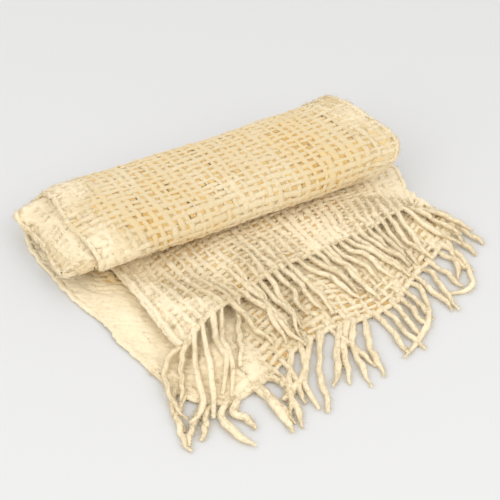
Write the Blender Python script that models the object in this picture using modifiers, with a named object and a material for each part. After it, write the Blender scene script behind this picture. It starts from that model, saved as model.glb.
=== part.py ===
import math

import bpy
import numpy as np
from mathutils import Matrix

CLOTH_THICK = 0.007
LAYER_PITCH = 0.0105
TURN_PITCH = 0.0235
FLOOR_MID = 0.5 * (LAYER_PITCH + CLOTH_THICK)

ROLL_HALF_DEPTH = 0.136
ROLL_HALF_HEIGHT = 0.057
ROLL_CENTRE_Y = 0.1075
ROLL_CENTRE_Z = FLOOR_MID + ROLL_HALF_HEIGHT
ROLL_SQUARENESS = 2.4
ROLL_END_DEG = 575.0
PRESSED_DEPTH = 0.007
SAG_FROM = 0.028
SAG_TO = 0.092
FLAT_START_Y = 0.03
END_TAPER_FROM = -0.285
END_TAPER_WIDTH = 0.075
END_INSET = 0.004
INSET_FROM_DEG = 48.0
INSET_GROWS_DEG = 24.0
INSET_TO_DEG = 160.0
INSET_FADES_DEG = 30.0
FRAME_STEP_DEG = 2.0

LOWER_FLAP_ROWS = 16
UPPER_FLAP_ROWS = 11
FOLD_ROWS = 4

# Slow waves of the roll: size, radians per metre, start.
LONG_WAVE_Y = (0.0045, 8.0, 2.1)
SHORT_WAVE_Y = (0.0020, 25.0, 0.5)

# Wave of the roll's height: size, radians per metre along x and along y.
WAVE_Z = (0.0022, 27.0, 12.0)

STRAND_COUNT = 34
STRAND_WIDE = 0.0062
STRAND_HIGH = 0.0052
STRAND_TIP_SHARE = 0.45
STRAND_ROOT_SHARE = 0.155
STRIP_START = 0.004
STRIP_DEPTH = 0.004
STRIP_HEIGHT_SHARE = 0.86
HEM_CLEARANCE = 0.0006
STRAND_CLEARANCE = 0.0065
STRAND_PHASE = 2.4
STRAND_SPREAD_DEG = 3.0
STRAND_LENGTH_SPREAD = 0.10
STRAND_LENGTH_PHASE = 1.7
STRAND_LENGTH_START = 0.6
STRAND_SWAY = 0.0025
STRAND_SWAY_TURN = 4.2
STRAND_EASE_LENGTH = 0.075

# Share of the cloth's width at each lengthwise line of the mesh, closer at the tapered left end.
COLUMN_SHARES = (
    0.0, 0.03, 0.06, 0.095, 0.135, 0.18, 0.23, 0.285, 0.34, 0.395,
    0.45, 0.505, 0.56, 0.615, 0.67, 0.725, 0.78, 0.835, 0.89, 0.945, 1.0,
)

# Turning angle of each crosswise line on the roll, from the bottom round the back and over the top.
ROLL_STATIONS = (
    0, 28, 46, 58, 68, 79, 90, 101, 112, 122, 134, 152, 180, 208, 226, 238, 248, 259,
    270, 281, 292, 302, 314, 332, 360, 388, 406, 422, 438, 450, 462, 478, 494, 512, 540, 562, 575,
)

# Roll edges of the lower (outer) layer: turning angle, left edge x, right edge x.
LOWER_EDGES = (
    (-60, -0.354, 0.400),
    (0, -0.364, 0.378),
    (60, -0.368, 0.352),
    (80, -0.362, 0.345),
    (92, -0.338, 0.346),
    (110, -0.316, 0.350),
    (150, -0.307, 0.366),
    (190, -0.303, 0.386),
    (225, -0.298, 0.402),
    (250, -0.293, 0.396),
    (270, -0.289, 0.380),
    (300, -0.286, 0.352),
    (330, -0.284, 0.345),
    (360, -0.278, 0.352),
    (450, -0.262, 0.344),
    (600, -0.258, 0.350),
)

# Roll edges of the upper (inner) layer: turning angle, left edge x, right edge x.
UPPER_EDGES = (
    (-60, -0.258, 0.428),
    (0, -0.274, 0.404),
    (40, -0.302, 0.380),
    (56, -0.328, 0.362),
    (72, -0.350, 0.346),
    (90, -0.361, 0.340),
    (110, -0.366, 0.346),
    (180, -0.360, 0.368),
    (225, -0.351, 0.382),
    (243, -0.341, 0.376),
    (258, -0.314, 0.370),
    (272, -0.288, 0.364),
    (300, -0.274, 0.350),
    (330, -0.268, 0.345),
    (360, -0.264, 0.344),
    (420, -0.260, 0.340),
    (600, -0.258, 0.346),
)

# Height to which the upper layer sinks at its left end: turning angle, height of the sheet's middle.
END_HEIGHTS = (
    (79, 0.0495),
    (90, 0.0575),
    (101, 0.0615),
    (112, 0.0615),
    (122, 0.0580),
    (134, 0.0520),
    (152, 0.0445),
    (180, 0.0385),
    (225, 0.0420),
    (250, 0.0500),
    (270, 0.0640),
)

# Lower layer's front hem, left to right: share of the width, x, y.
LOWER_HEM = (
    (0.00, -0.277, -0.318),
    (0.07, -0.250, -0.368),
    (0.15, -0.205, -0.392),
    (0.25, -0.127, -0.374),
    (0.37, -0.030, -0.338),
    (0.50, 0.070, -0.318),
    (0.60, 0.146, -0.322),
    (0.70, 0.220, -0.303),
    (0.82, 0.306, -0.254),
    (0.92, 0.378, -0.210),
    (1.00, 0.432, -0.174),
)

# Upper layer's front hem, left to right: share of the width, x, y.
UPPER_HEM = (
    (0.00, -0.211, -0.238),
    (0.10, -0.148, -0.206),
    (0.20, -0.086, -0.178),
    (0.35, 0.006, -0.153),
    (0.50, 0.098, -0.137),
    (0.67, 0.202, -0.121),
    (0.84, 0.306, -0.113),
    (1.00, 0.410, -0.098),
)

# Soft lumps in both flaps: centre x, centre y, half width, half depth, height.
FLAP_LUMPS = (
    (-0.165, -0.318, 0.085, 0.085, 0.030),
    (-0.055, -0.262, 0.070, 0.090, 0.012),
    (0.075, -0.235, 0.080, 0.095, 0.015),
    (0.215, -0.205, 0.075, 0.090, 0.012),
    (0.335, -0.135, 0.070, 0.080, 0.016),
    (-0.275, -0.120, 0.060, 0.110, 0.010),
)

# Places where the upper flap stands off the lower one: centre x, centre y, half width, half depth, height.
UPPER_LIFTS = (
    (-0.165, -0.200, 0.130, 0.160, 0.026),
    (-0.235, -0.100, 0.070, 0.110, 0.008),
    (0.030, -0.100, 0.120, 0.095, 0.006),
    (0.300, -0.095, 0.110, 0.090, 0.009),
)

# Fringe strands by share of the width: share, angle from straight ahead in degrees, length.
LOWER_STRANDS = (
    (0.00, -20.0, 0.118),
    (0.10, -10.0, 0.108),
    (0.20, -2.0, 0.118),
    (0.40, 4.0, 0.130),
    (0.60, 8.0, 0.112),
    (0.75, 11.0, 0.110),
    (0.90, 15.0, 0.108),
    (1.00, 30.0, 0.092),
)
UPPER_STRANDS = (
    (0.00, -15.0, 0.146),
    (0.15, -7.0, 0.150),
    (0.35, 3.0, 0.156),
    (0.55, 9.0, 0.156),
    (0.75, 14.0, 0.148),
    (0.90, 20.0, 0.140),
    (1.00, 27.0, 0.128),
)
STRAND_STEPS = (0.0, 0.14, 0.32, 0.55, 0.78, 1.0)

# Sag of the loose roll's top along its length: x, change of height.
ROLL_SAG = (
    (-0.40, -0.009),
    (-0.28, -0.011),
    (-0.19, -0.009),
    (-0.10, -0.009),
    (-0.01, -0.013),
    (0.05, -0.009),
    (0.11, -0.005),
    (0.19, -0.001),
    (0.28, 0.003),
    (0.35, 0.014),
    (0.44, 0.020),
)

WOOL_COLOUR = (0.88, 0.79, 0.60, 1.0)
FRINGE_COLOUR = (0.90, 0.81, 0.62, 1.0)
WOOL_ROUGHNESS = 0.95
WOOL_SHEEN = 0.3


def clear_scene():
    for obj in list(bpy.data.objects):
        bpy.data.objects.remove(obj, do_unlink=True)


def smooth_step(value):
    t = np.clip(value, 0.0, 1.0)
    return t * t * (3.0 - 2.0 * t)


def table_column(table, key, column):
    keys = [row[0] for row in table]
    values = [row[column] for row in table]
    return np.interp(key, keys, values)


def lump_height(x, y, table):
    """Sum of rounded mounds, each exactly zero outside its own oval."""
    total = np.zeros_like(np.asarray(x, float))
    for centre_x, centre_y, half_x, half_y, height in table:
        away = ((x - centre_x) / half_x) ** 2 + ((y - centre_y) / half_y) ** 2
        total = total + height * np.clip(1.0 - away, 0.0, 1.0) ** 2
    return total


def roll_point(degrees):
    """Point (y, z) of the middle line between the two layers, a spiral of rounded oblong turns.

    The first quarter turn is pressed flat on the floor by the roll's weight.
    """
    angle = np.radians(degrees)
    inward = TURN_PITCH * degrees / 360.0
    power = 2.0 / ROLL_SQUARENESS
    sine = np.sin(angle)
    cosine = np.cos(angle)
    y = ROLL_CENTRE_Y + (ROLL_HALF_DEPTH - inward) * np.sign(sine) * np.abs(sine) ** power
    z = ROLL_CENTRE_Z - (ROLL_HALF_HEIGHT - inward) * np.sign(cosine) * np.abs(cosine) ** power
    side_rise = ROLL_HALF_HEIGHT - TURN_PITCH / 4.0
    pressed = (z - FLOOR_MID - PRESSED_DEPTH) * side_rise / (side_rise - PRESSED_DEPTH)
    z = np.where(degrees < 90.0, FLOOR_MID + np.maximum(pressed, 0.0), z)
    return np.stack([y, z], axis=-1)


def roll_frame(degrees):
    """Middle-line points with their unit tangents and inward normals."""
    degrees = np.asarray(degrees, float)
    points = roll_point(degrees)
    before = np.maximum(degrees - FRAME_STEP_DEG, 0.0)
    tangents = roll_point(degrees + FRAME_STEP_DEG) - roll_point(before)
    tangents /= np.linalg.norm(tangents, axis=-1, keepdims=True)
    normals = np.stack([-tangents[:, 1], tangents[:, 0]], axis=-1)
    return points, tangents, normals


def wave(place, shape):
    size, turn, start = shape
    return size * np.sin(turn * place + start)


def unevenness(points):
    """Sag and slow waves of the loose roll, taken up by its hollow core so that the base stays flat."""
    x, y, z = points[..., 0], points[..., 1], points[..., 2]
    rise = smooth_step((z - SAG_FROM) / (SAG_TO - SAG_FROM))
    size, along, across = WAVE_Z
    moved = points.copy()
    moved[..., 1] += rise * (wave(x, LONG_WAVE_Y) + wave(x, SHORT_WAVE_Y))
    moved[..., 2] += rise * (table_column(ROLL_SAG, x, 1) + size * np.sin(along * x + across * y))
    return moved


def roll_rows(side, edges):
    """Rows of one layer round the roll; side is -1 for the outer layer and +1 for the inner."""
    stations = np.asarray(ROLL_STATIONS, float)
    points, _, normals = roll_frame(stations)
    line = points + side * 0.5 * LAYER_PITCH * normals
    left = table_column(edges, stations, 1)
    right = table_column(edges, stations, 2)
    shares = np.asarray(COLUMN_SHARES)
    x = left[:, None] + (right - left)[:, None] * shares[None, :]
    y = np.repeat(line[:, :1], len(shares), axis=1)
    z = np.repeat(line[:, 1:], len(shares), axis=1)
    if side > 0:
        sink = smooth_step((END_TAPER_FROM - x) / END_TAPER_WIDTH)
        first, last = END_HEIGHTS[0][0], END_HEIGHTS[-1][0]
        inside = (stations > first) & (stations < last)
        target = table_column(END_HEIGHTS, stations, 1)
        z = z + np.where(inside[:, None], sink * (target[:, None] - z), 0.0)
        grown = smooth_step((stations - INSET_FROM_DEG) / INSET_GROWS_DEG)
        faded = smooth_step((INSET_TO_DEG - stations) / INSET_FADES_DEG)
        y = y - END_INSET * sink * (grown * faded)[:, None]
    return unevenness(np.stack([x, y, z], axis=-1))


def flap_height(x, y, upper):
    """Height of a flap's middle surface above the floor."""
    height = 0.5 * CLOTH_THICK + lump_height(x, y, FLAP_LUMPS)
    if upper:
        height = height + LAYER_PITCH + lump_height(x, y, UPPER_LIFTS)
    return height


def flap_rows(upper, count):
    """Rows of one flap from its hem back to the start of the flat bed under the roll."""
    hem = UPPER_HEM if upper else LOWER_HEM
    edges = UPPER_EDGES if upper else LOWER_EDGES
    shares = np.asarray(COLUMN_SHARES)
    hem_x = table_column(hem, shares, 1)
    hem_y = table_column(hem, shares, 2)
    back_x = edges[0][1] + (edges[0][2] - edges[0][1]) * shares
    along = np.linspace(0.0, 1.0, count)[:, None]
    x = hem_x + (back_x - hem_x) * along
    y = hem_y + (FLAT_START_Y - hem_y) * along
    return np.stack([x, y, flap_height(x, y, upper)], axis=-1)


def fold_rows(count):
    """Half-round rows that join the two layers at the inner end of the roll."""
    points, tangents, normals = roll_frame(np.array([ROLL_END_DEG]))
    turn = np.linspace(0.0, math.pi, count + 2)[1:-1]
    radius = 0.5 * LAYER_PITCH
    line = points + radius * (
        -np.cos(turn)[:, None] * normals + np.sin(turn)[:, None] * tangents
    )
    share = turn / math.pi
    lower = [table_column(LOWER_EDGES, ROLL_END_DEG, side) for side in (1, 2)]
    upper = [table_column(UPPER_EDGES, ROLL_END_DEG, side) for side in (1, 2)]
    left = lower[0] + (upper[0] - lower[0]) * share
    right = lower[1] + (upper[1] - lower[1]) * share
    shares = np.asarray(COLUMN_SHARES)
    x = left[:, None] + (right - left)[:, None] * shares[None, :]
    y = np.repeat(line[:, :1], len(shares), axis=1)
    z = np.repeat(line[:, 1:], len(shares), axis=1)
    return unevenness(np.stack([x, y, z], axis=-1))


def cloth_rows():
    """The whole back-and-forth sheet, from the lower hem round the roll and back to the upper hem."""
    lower_flap = flap_rows(False, LOWER_FLAP_ROWS)
    upper_flap = flap_rows(True, UPPER_FLAP_ROWS)
    lower_roll = roll_rows(-1, LOWER_EDGES)
    upper_roll = roll_rows(1, UPPER_EDGES)
    return np.concatenate(
        [lower_flap, lower_roll, fold_rows(FOLD_ROWS), upper_roll[::-1], upper_flap[::-1]]
    )


def add_material(obj, name, colour):
    material = bpy.data.materials.new(name)
    material.use_nodes = True
    shader = material.node_tree.nodes["Principled BSDF"]
    shader.inputs["Base Color"].default_value = colour
    shader.inputs["Roughness"].default_value = WOOL_ROUGHNESS
    shader.inputs["Sheen Weight"].default_value = WOOL_SHEEN
    obj.data.materials.append(material)


def add_object(name, vertices, faces, collection):
    mesh = bpy.data.meshes.new(name)
    mesh.from_pydata([tuple(v) for v in vertices], [], faces)
    mesh.update()
    mesh.polygons.foreach_set("use_smooth", [True] * len(mesh.polygons))
    obj = bpy.data.objects.new(name, mesh)
    collection.objects.link(obj)
    return obj


def add_cloth(collection):
    """The sheet as a grid, given its thickness equally on both sides."""
    rows = cloth_rows()
    row_count, column_count = rows.shape[:2]
    faces = []
    for i in range(row_count - 1):
        for j in range(column_count - 1):
            first = i * column_count + j
            faces.append((first, first + 1, first + column_count + 1, first + column_count))
    obj = add_object("blanket_cloth", rows.reshape(-1, 3), faces, collection)
    thick = obj.modifiers.new("Thickness", "SOLIDIFY")
    thick.thickness = CLOTH_THICK
    thick.offset = 0.0
    thick.use_rim = True
    add_material(obj, "wool_cloth", WOOL_COLOUR)
    return obj


def hem_rim(cloth, upper):
    """Lower and upper rim of a hem just as the thickened cloth has them, with outward directions."""
    count = len(COLUMN_SHARES)
    mesh = cloth.data
    first = len(mesh.vertices) - count if upper else 0
    middle = np.array([mesh.vertices[first + i].co[:] for i in range(count)])
    normal = np.array([mesh.vertices[first + i].normal[:] for i in range(count)])
    half = 0.5 * CLOTH_THICK * normal * np.sign(normal[:, 2:])
    run = np.gradient(middle[:, :2], axis=0)
    run /= np.linalg.norm(run, axis=1, keepdims=True)
    outward = np.stack([run[:, 1], -run[:, 0], np.zeros(count)], axis=-1)
    return middle - half, middle + half, outward


def along_hem(values, shares):
    """Values at the cloth's columns taken straight between them at the given shares."""
    return np.stack(
        [np.interp(shares, COLUMN_SHARES, values[:, axis]) for axis in range(3)], axis=-1
    )


def strand_rings(share, root, upper, index):
    """Four-cornered rings along one strand, from its root on the strip to its tip."""
    table = UPPER_STRANDS if upper else LOWER_STRANDS
    phase = STRAND_PHASE * index
    angle = math.radians(table_column(table, share, 1) + STRAND_SPREAD_DEG * math.sin(phase))
    longer = STRAND_LENGTH_SPREAD * math.sin(STRAND_LENGTH_PHASE * index + STRAND_LENGTH_START)
    length = table_column(table, share, 2) * (1.0 + longer)
    ahead = np.array([math.sin(angle), -math.cos(angle)])
    aside = np.array([math.cos(angle), math.sin(angle)])
    rings = []
    for step in STRAND_STEPS[1:]:
        sway = STRAND_SWAY * math.sin(STRAND_SWAY_TURN * step + phase) * step
        place = root[:2] + ahead * length * step + aside * sway
        ease = 1.0 - float(smooth_step(length * step / STRAND_EASE_LENGTH))
        if upper:
            bed = flap_height(place[0], place[1], False) + 0.5 * CLOTH_THICK
            rest = float(bed) + STRAND_CLEARANCE + 0.5 * STRAND_HIGH
            start = float(flap_height(root[0], root[1], False)) + 0.5 * CLOTH_THICK
            start += STRAND_CLEARANCE + 0.5 * STRAND_HIGH
        else:
            rest = 0.5 * STRAND_HIGH
            start = rest
        z = rest + (root[2] - start) * ease
        size = 1.0 - (1.0 - STRAND_TIP_SHARE) * step ** 3
        side = 0.5 * STRAND_WIDE * size * aside
        low = z - 0.5 * STRAND_HIGH
        high = low + STRAND_HIGH * size
        rings.append(
            (
                (place[0] - side[0], place[1] - side[1], low),
                (place[0] + side[0], place[1] + side[1], low),
                (place[0] + side[0], place[1] + side[1], high),
                (place[0] - side[0], place[1] - side[1], high),
            )
        )
    return rings


def strip_stations():
    """Shares of the hem where the strip has a section, and the ones where a strand starts.

    The strip bends where the cloth's hem does, so a strand that would span a bend starts at it.
    """
    half = STRAND_ROOT_SHARE / STRAND_COUNT
    bends = COLUMN_SHARES[1:-1]
    lefts = []
    for index in range(STRAND_COUNT):
        middle = (index + 0.5) / STRAND_COUNT
        for bend in bends:
            if abs(bend - middle) < half:
                middle = bend + half
        lefts.append(round(middle - half, 6))
    rights = [round(left + 2.0 * half, 6) for left in lefts]
    shares = sorted(set(lefts) | set(rights) | set(bends) | {STRIP_START, 1.0 - STRIP_START})
    return shares, [shares.index(left) for left in lefts]


def add_fringe(name, cloth, upper, collection, material):
    """One backing strip along the hem with all of its strands grown from its front face."""
    shares, starts = strip_stations()
    rim_low, rim_high, outward = hem_rim(cloth, upper)
    low = along_hem(rim_low, shares)
    high = low + STRIP_HEIGHT_SHARE * (along_hem(rim_high, shares) - low)
    out = along_hem(outward, shares)
    near = HEM_CLEARANCE * out
    far = (HEM_CLEARANCE + STRIP_DEPTH) * out
    vertices = []
    for i in range(len(shares)):
        vertices.extend(
            tuple(v) for v in (low[i] + near[i], low[i] + far[i], high[i] + far[i], high[i] + near[i])
        )
    faces = [(0, 1, 2, 3)]
    for i in range(len(shares) - 1):
        a = 4 * i
        b = a + 4
        faces.append((a, b, b + 1, a + 1))
        faces.append((a + 2, b + 2, b + 3, a + 3))
        faces.append((a + 3, b + 3, b, a))
        if i not in starts:
            faces.append((a + 1, b + 1, b + 2, a + 2))
    last = 4 * (len(shares) - 1)
    faces.append((last + 3, last + 2, last + 1, last))
    for index, i in enumerate(starts):
        a = 4 * i
        b = a + 4
        middle = 0.5 * (shares[i] + shares[i + 1])
        root_x = 0.5 * (vertices[a + 1][0] + vertices[b + 1][0])
        root_y = 0.5 * (vertices[a + 1][1] + vertices[b + 1][1])
        root_z = 0.5 * (low[i, 2] + low[i + 1, 2]) + 0.5 * STRAND_HIGH
        root = np.array([root_x, root_y, root_z])
        ring = [a + 1, b + 1, b + 2, a + 2]
        for corners in strand_rings(middle, root, upper, index):
            base = len(vertices)
            vertices.extend(corners)
            fresh = [base, base + 1, base + 2, base + 3]
            for k in range(4):
                following = (k + 1) % 4
                faces.append((ring[k], ring[following], fresh[following], fresh[k]))
            ring = fresh
        faces.append((ring[0], ring[1], ring[2], ring[3]))
    obj = add_object(name, vertices, faces, collection)
    add_material(obj, material, FRINGE_COLOUR)
    return obj


def centre_on_floor(objects):
    """Moves the whole blanket so that its box is centred on the origin and its base is at height zero."""
    bpy.context.view_layer.update()
    graph = bpy.context.evaluated_depsgraph_get()
    points = []
    for obj in objects:
        shape = obj.evaluated_get(graph)
        mesh = shape.to_mesh()
        flat = np.empty(len(mesh.vertices) * 3, np.float32)
        mesh.vertices.foreach_get("co", flat)
        points.append(flat.reshape(-1, 3).astype(float))
        shape.to_mesh_clear()
    points = np.concatenate(points)
    low = points.min(axis=0)
    high = points.max(axis=0)
    middle = 0.5 * (low + high)
    shift = Matrix.Translation((-middle[0], -middle[1], -low[2]))
    for obj in objects:
        obj.data.transform(shift)


def main():
    clear_scene()
    collection = bpy.data.collections.new("woven_wool_blanket")
    bpy.context.scene.collection.children.link(collection)
    cloth = add_cloth(collection)
    lower = add_fringe("fringe_lower", cloth, False, collection, "wool_fringe_lower")
    upper = add_fringe("fringe_upper", cloth, True, collection, "wool_fringe_upper")
    centre_on_floor((cloth, lower, upper))


main()
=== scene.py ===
import math

import bpy
import numpy as np
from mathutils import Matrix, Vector


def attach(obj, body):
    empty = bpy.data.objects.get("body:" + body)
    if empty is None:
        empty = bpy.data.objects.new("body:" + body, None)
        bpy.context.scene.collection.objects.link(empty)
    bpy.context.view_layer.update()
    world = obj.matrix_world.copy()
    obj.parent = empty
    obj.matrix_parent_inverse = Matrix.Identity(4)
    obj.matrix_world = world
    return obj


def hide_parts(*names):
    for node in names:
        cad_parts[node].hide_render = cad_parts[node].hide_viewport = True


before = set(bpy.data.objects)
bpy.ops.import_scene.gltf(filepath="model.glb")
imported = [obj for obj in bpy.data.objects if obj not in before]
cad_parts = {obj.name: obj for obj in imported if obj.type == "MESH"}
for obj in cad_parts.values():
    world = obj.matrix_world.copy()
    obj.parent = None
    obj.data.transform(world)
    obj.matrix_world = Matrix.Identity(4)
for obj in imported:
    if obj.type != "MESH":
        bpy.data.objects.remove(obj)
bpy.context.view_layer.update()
rng = np.random.default_rng(27)

# The folded and rolled form, in metres. Tables are the middle of the sheet before the shift.
form = {
    "shift": (-0.051068, 0.131506, 0.0),
    "layerPitch": 0.0105,
    "turnPitch": 0.0235,
    "floorMiddle": 0.00875,
    "halfDepth": 0.136,
    "halfHeight": 0.057,
    "centreY": 0.1075,
    "squareness": 2.4,
    "endDeg": 575.0,
    "pressed": 0.007,
    "sagRange": (0.028, 0.092),
    "flatStartY": 0.03,
    "endTaper": (-0.285, 0.075),
    "endInset": 0.004,
    "endRim": 0.046,                  # the outer layer's back wall comes no higher than this at its left end
    "insetBand": (48.0, 24.0, 160.0, 30.0),     # where: grows from, over, ends at, over, in degrees
    "rimBand": (40.0, 20.0, 150.0, 20.0),
    "heightFadeDeg": 8.0,
    "heightBlurDeg": 5.0,
    "edgeBlurDeg": 7.0,
    "tangentDeg": 2.0,
    "hemBlur": 3.0,                   # in columns
    "flapRows": 150,
    "foldRows": 11,
    "faceWaves": ((0.0045, 8.0, 2.1), (0.0020, 25.0, 0.5)),     # depth, radians to a metre of x, start
    "topWave": (0.0022, 27.0, 12.0),  # height, radians to a metre of x and of y
    "lowest": 0.0003,                 # nothing of a thread goes below this
    "clothMiddle": 0.0035,
    "rowStep": 0.002,
    # turning angle, left x, right x of the outer layer on the roll
    "lowerEdges": (
        (-60, -0.354, 0.400), (0, -0.364, 0.378), (60, -0.368, 0.352), (80, -0.362, 0.345),
        (92, -0.338, 0.346), (110, -0.316, 0.350), (150, -0.307, 0.366), (190, -0.303, 0.386),
        (225, -0.298, 0.402), (250, -0.293, 0.396), (270, -0.289, 0.380), (300, -0.286, 0.352),
        (330, -0.284, 0.345), (360, -0.278, 0.352), (450, -0.262, 0.344), (600, -0.258, 0.350),
    ),
    # the same of the inner layer
    "upperEdges": (
        (-60, -0.258, 0.428), (0, -0.274, 0.404), (40, -0.302, 0.380), (56, -0.328, 0.362),
        (72, -0.350, 0.346), (90, -0.361, 0.340), (110, -0.366, 0.346), (180, -0.360, 0.368),
        (225, -0.351, 0.382), (243, -0.341, 0.376), (258, -0.314, 0.370), (272, -0.288, 0.364),
        (300, -0.274, 0.350), (330, -0.268, 0.345), (360, -0.264, 0.344), (420, -0.260, 0.340),
        (600, -0.258, 0.346),
    ),
    # turning angle, height to which the inner layer sinks at its left end
    "endHeights": (
        (79, 0.0495), (90, 0.0575), (101, 0.0615), (112, 0.0615), (122, 0.0580), (134, 0.0520),
        (152, 0.0445), (180, 0.0385), (225, 0.0420), (250, 0.0500), (270, 0.0640),
    ),
    # share of the width, x, y along the two front hems
    "lowerHem": (
        (0.00, -0.277, -0.318), (0.07, -0.250, -0.368), (0.15, -0.205, -0.392),
        (0.25, -0.127, -0.374), (0.37, -0.030, -0.338), (0.50, 0.070, -0.318),
        (0.60, 0.146, -0.322), (0.70, 0.220, -0.303), (0.82, 0.306, -0.254),
        (0.92, 0.378, -0.210), (1.00, 0.432, -0.174),
    ),
    "upperHem": (
        (0.00, -0.238, -0.252), (0.05, -0.207, -0.246), (0.10, -0.172, -0.222),
        (0.20, -0.094, -0.184), (0.35, 0.006, -0.153), (0.50, 0.098, -0.137),
        (0.67, 0.200, -0.121), (0.84, 0.300, -0.114), (1.00, 0.386, -0.106),
    ),
    # centre x, centre y, half width, half depth, height of soft mounds
    "lumps": (
        (-0.165, -0.318, 0.085, 0.085, 0.030), (-0.055, -0.262, 0.070, 0.090, 0.012),
        (0.075, -0.235, 0.080, 0.095, 0.015), (0.215, -0.205, 0.075, 0.090, 0.012),
        (0.335, -0.135, 0.070, 0.080, 0.016), (-0.275, -0.120, 0.060, 0.110, 0.010),
    ),
    "lifts": (
        (-0.165, -0.200, 0.130, 0.160, 0.026), (-0.235, -0.100, 0.070, 0.110, 0.008),
        (0.030, -0.100, 0.120, 0.095, 0.006), (0.300, -0.095, 0.110, 0.090, 0.009),
    ),
    # x, change of height of the roll's top
    "sag": (
        (-0.40, -0.009), (-0.28, -0.011), (-0.19, -0.009), (-0.10, -0.009), (-0.01, -0.013),
        (0.05, -0.009), (0.11, -0.005), (0.19, -0.001), (0.28, 0.003), (0.35, 0.014),
        (0.44, 0.020),
    ),
}


def smoothStep(value):
    # 3t squared less 2t cubed, with t held between 0 and 1
    t = np.clip(value, 0.0, 1.0)
    return t * t * (3.0 - 2.0 * t)


def between(value, start, startWidth, end, endWidth):
    # a smooth step up from start over its width, times one down to end over its own
    return smoothStep((value - start) / startWidth) * smoothStep((end - value) / endWidth)


def unit(vectors):
    # each vector over its own length
    return vectors / np.maximum(np.linalg.norm(vectors, axis=-1, keepdims=True), 1e-9)


def fromTable(table, key, column):
    # straight lines between the table's rows
    return np.interp(key, [row[0] for row in table], [row[column] for row in table])


def mounds(x, y, table):
    # sum of height times (1 - r squared) squared inside each oval
    total = np.zeros_like(x)
    for centreX, centreY, halfX, halfY, height in table:
        away = ((x - centreX) / halfX) ** 2 + ((y - centreY) / halfY) ** 2
        total = total + height * np.clip(1.0 - away, 0.0, 1.0) ** 2
    return total


def blurred(values, width, axis):
    # running average with bell-shaped weights, the ends carried on straight
    reach = max(int(math.ceil(3 * width)), 1)
    weights = np.exp(-0.5 * (np.arange(-reach, reach + 1) / width) ** 2)
    weights /= weights.sum()
    moved = np.moveaxis(values, axis, 0)
    reach = min(reach, len(moved) - 1)
    weights = weights[len(weights) // 2 - reach:len(weights) // 2 + reach + 1]
    weights = weights / weights.sum()
    before = 2 * moved[:1] - moved[reach:0:-1]
    after = 2 * moved[-1:] - moved[-2:-reach - 2:-1]
    long = np.concatenate([before, moved, after])
    out = sum(w * long[i:i + len(moved)] for i, w in enumerate(weights))
    return np.moveaxis(out, 0, axis)


def softNoise(shape, widths):
    # white noise blurred along each axis, brought back to a spread of one and held within 2.2
    values = rng.normal(size=shape)
    for axis, width in enumerate(widths):
        if width > 0:
            values = blurred(values, width, axis)
    return np.clip((values - values.mean()) / values.std(), -2.2, 2.2)


def rollLine(degrees):
    # spiral of rounded oblong turns: centre +- (half size - turn pitch * turns) * |sin, cos| ** (2/squareness)
    angle = np.radians(degrees)
    inward = form["turnPitch"] * degrees / 360.0
    power = 2.0 / form["squareness"]
    sine, cosine = np.sin(angle), np.cos(angle)
    middleZ = form["floorMiddle"] + form["halfHeight"]
    y = form["centreY"] + (form["halfDepth"] - inward) * np.sign(sine) * np.abs(sine) ** power
    z = middleZ - (form["halfHeight"] - inward) * np.sign(cosine) * np.abs(cosine) ** power
    side = form["halfHeight"] - form["turnPitch"] / 4.0
    pressed = (z - form["floorMiddle"] - form["pressed"]) * side / (side - form["pressed"])
    z = np.where(degrees < 90.0, form["floorMiddle"] + np.maximum(pressed, 0.0), z)
    return np.stack([y, z], axis=-1)


def rollFrame(degrees):
    # the spiral's points, unit tangents by central difference, and the tangents turned a quarter inward
    points = rollLine(degrees)
    reach = form["tangentDeg"]
    tangents = unit(rollLine(degrees + reach) - rollLine(np.maximum(degrees - reach, 0.0)))
    normals = np.stack([-tangents[:, 1], tangents[:, 0]], axis=-1)
    return points, tangents, normals


def unevenness(points):
    # slow sine waves and the sag table, growing with height by a smooth step
    x, y, z = points[..., 0], points[..., 1], points[..., 2]
    low, high = form["sagRange"]
    rise = smoothStep((z - low) / (high - low))
    height, rateX, rateY = form["topWave"]
    moved = points.copy()
    moved[..., 1] += rise * sum(depth * np.sin(rate * x + start) for depth, rate, start in form["faceWaves"])
    moved[..., 2] += rise * (fromTable(form["sag"], x, 1) + height * np.sin(rateX * x + rateY * y))
    return moved


def acrossColumns(line, count):
    # a line's y and z, the same in every column
    return (np.repeat(line[:, axis:axis + 1], count, axis=1) for axis in (0, 1))


def rollLayer(side, edges, shares):
    # one layer round the roll: the spiral pushed half a layer pitch out or in, drawn between its two edges
    degrees = np.arange(0.0, form["endDeg"] + 0.5, 1.0)
    points, _, normals = rollFrame(degrees)
    line = points + side * 0.5 * form["layerPitch"] * normals
    left, right = (blurred(fromTable(edges, degrees, column), form["edgeBlurDeg"], 0) for column in (1, 2))
    x = left[:, None] + (right - left)[:, None] * shares[None, :]
    y, z = acrossColumns(line, len(shares))
    start, width = form["endTaper"]
    sink = smoothStep((start - x) / width)
    if side > 0:
        heights, fade = form["endHeights"], form["heightFadeDeg"]
        inside = between(degrees, heights[0][0], fade, heights[-1][0], fade)
        target = blurred(fromTable(heights, degrees, 1), form["heightBlurDeg"], 0)
        z = z + inside[:, None] * sink * (target[:, None] - z)
        y = y - form["endInset"] * sink * between(degrees, *form["insetBand"])[:, None]
    else:
        over = np.maximum(z - form["endRim"], 0.0)
        z = z - over * sink * between(degrees, *form["rimBand"])[:, None]
    return unevenness(np.stack([x, y, z], axis=-1))


def flapHeight(x, y, upper):
    # mounds over the floor; the upper flap adds a layer pitch and its own lifts
    height = form["clothMiddle"] + mounds(x, y, form["lumps"])
    if upper:
        height = height + form["layerPitch"] + mounds(x, y, form["lifts"])
    return height


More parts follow.
